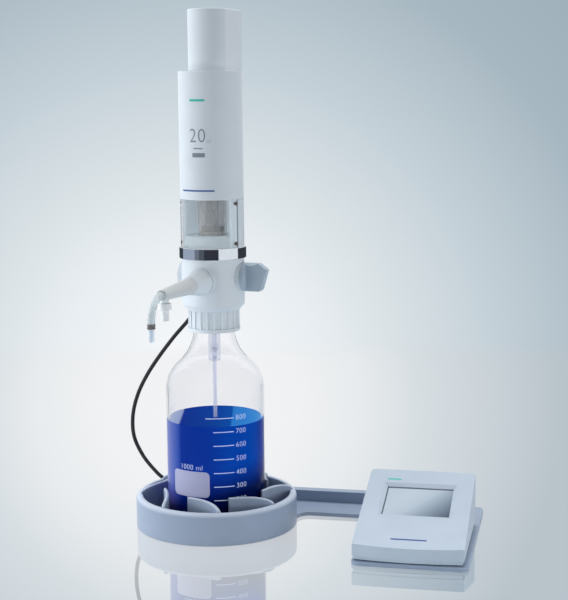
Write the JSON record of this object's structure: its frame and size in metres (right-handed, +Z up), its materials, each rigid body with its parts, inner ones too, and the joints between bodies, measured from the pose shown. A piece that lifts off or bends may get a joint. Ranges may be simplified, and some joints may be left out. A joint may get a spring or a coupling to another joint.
{
  "type": "motorized bottle top dispenser",
  "caption": "Motor-driven bottle top dispenser with stopcock, glass cylinder and bent spout on a reagent bottle, set in a finned ring stand with a sloping touch controller.",
  "frame": {"origin": "on the bottle's axis, on the underside of the stand ring", "axes": "+Z up along the bottle, +X along the stand's arm to the controller, -Y to the front"},
  "size_m": [0.3804, 0.2561, 0.527],
  "materials": {
    "stand": "satin moulded",
    "controller": "fine satin",
    "display": "matte",
    "screen_glass": "glossy",
    "board": "lacquered",
    "steel": "ground",
    "rubber": "matte",
    "black_plastic": "satin",
    "clear_glass": "polished",
    "reagent": "clear liquid",
    "white_plastic": "satin moulded",
    "fluoropolymer": "waxy",
    "ceramic": "polished",
    "clear_plastic": "polished",
    "collar": "satin",
    "knob": "satin moulded",
    "chrome": "mirror",
    "piston": "ground",
    "brass": "machined",
    "dark_plastic": "moulded",
    "aluminium": "milled",
    "motor": "black",
    "cable": "satin jacket"
  },
  "bodies": {
    "stand": {"stand_ring": "stand", "bottle_fins": "stand", "stand_arm": "stand", "controller_plate": "stand", "controller_base": "controller", "controller_top": "controller", "display_panel": "display", "touch_glass": "screen_glass", "controller_board": "board", "controller_screws": "steel", "controller_feet": "rubber", "power_inlet": "black_plastic", "cable_plug": "black_plastic", "bottle": "clear_glass", "bottle_neck": "clear_glass", "reagent": "reagent", "motor_cable": "cable"},
    "nut": {"union_nut": "white_plastic"},
    "knob": {"valve_stem": "fluoropolymer", "valve_knob": "knob"},
    "spindle": {"lead_screw": "steel", "spindle_gear": "brass"},
    "plunger": {"piston": "piston", "piston_seal": "fluoropolymer", "piston_rod": "steel", "spindle_nut": "brass", "carriage": "dark_plastic"},
    "pinion": {"motor_shaft": "steel", "motor_pinion": "brass"},
    "cap": {"closure_cap": "white_plastic"},
    "inlet_valve": {"inlet_ball": "ceramic"},
    "outlet_valve": {"outlet_ball": "ceramic"},
    "head": {"guide_rods": "steel", "spindle_bearing": "steel", "window_screws": "steel", "housing_screws": "steel", "stem_seals": "rubber", "cable_gland": "black_plastic", "glass_cylinder": "clear_glass", "valve_block": "white_plastic", "inlet_valve_body": "white_plastic", "outlet_valve_body": "white_plastic", "spout_sleeve": "white_plastic", "cap_holder": "white_plastic", "side_plug": "white_plastic", "cylinder_seat": "white_plastic", "front_shell": "white_plastic", "rear_shell": "white_plastic", "gear_cover": "white_plastic", "bottle_seal": "fluoropolymer", "suction_tube": "clear_plastic", "spout_tube": "clear_plastic", "nozzle_tip": "clear_plastic", "window": "clear_plastic", "tube_collar": "collar", "chrome_ring": "chrome", "guide_plate": "dark_plastic", "drive_plate": "aluminium", "motor_bracket": "aluminium", "motor": "motor"}
  },
  "joints": [
    {"name": "head_swivel", "type": "hinge", "parent": "stand", "child": "head", "pos_m": [0, 0, 0.227], "axis": [0, 0, 1], "range_deg": [-45, 45], "deforming": ["motor_cable"]},
    {"name": "nut_turn", "type": "hinge", "parent": "stand", "child": "nut", "pos_m": [0, 0, 0.217], "axis": [0, 0, 1], "continuous": true},
    {"name": "knob_turn", "type": "hinge", "parent": "head", "child": "knob", "pos_m": [0, 0, 0.26], "axis": [0.9903, -0.1392, 0], "range_deg": [0, 90]},
    {"name": "spindle_spin", "type": "hinge", "parent": "head", "child": "spindle", "pos_m": [0, 0, 0.427], "axis": [0, 0, -1], "range_deg": [0, 1980]},
    {"name": "piston_slide", "type": "slide", "parent": "head", "child": "plunger", "axis": [0, 0, 1], "range_m": [0, 0.044]},
    {"name": "pinion_spin", "type": "hinge", "parent": "head", "child": "pinion", "pos_m": [0.00302, 0.02149, 0.427], "axis": [0, 0, -1], "range_deg": [-3960, 0]},
    {"name": "cap_pull", "type": "slide", "parent": "head", "child": "cap", "axis": [0, 0, -1], "range_m": [0, 0.012]},
    {"name": "inlet_lift", "type": "slide", "parent": "head", "child": "inlet_valve", "axis": [0, 0, 1], "range_m": [0, 0.0015]},
    {"name": "outlet_lift", "type": "slide", "parent": "head", "child": "outlet_valve", "axis": [-0.1392, -0.9903, 0], "range_m": [0, 0.0015]}
  ],
  "couplings": [
    {"joint": "piston_slide", "follows": "spindle_spin", "m_per_rad": 0.0012732},
    {"joint": "pinion_spin", "follows": "spindle_spin", "ratio": -2}
  ]
}
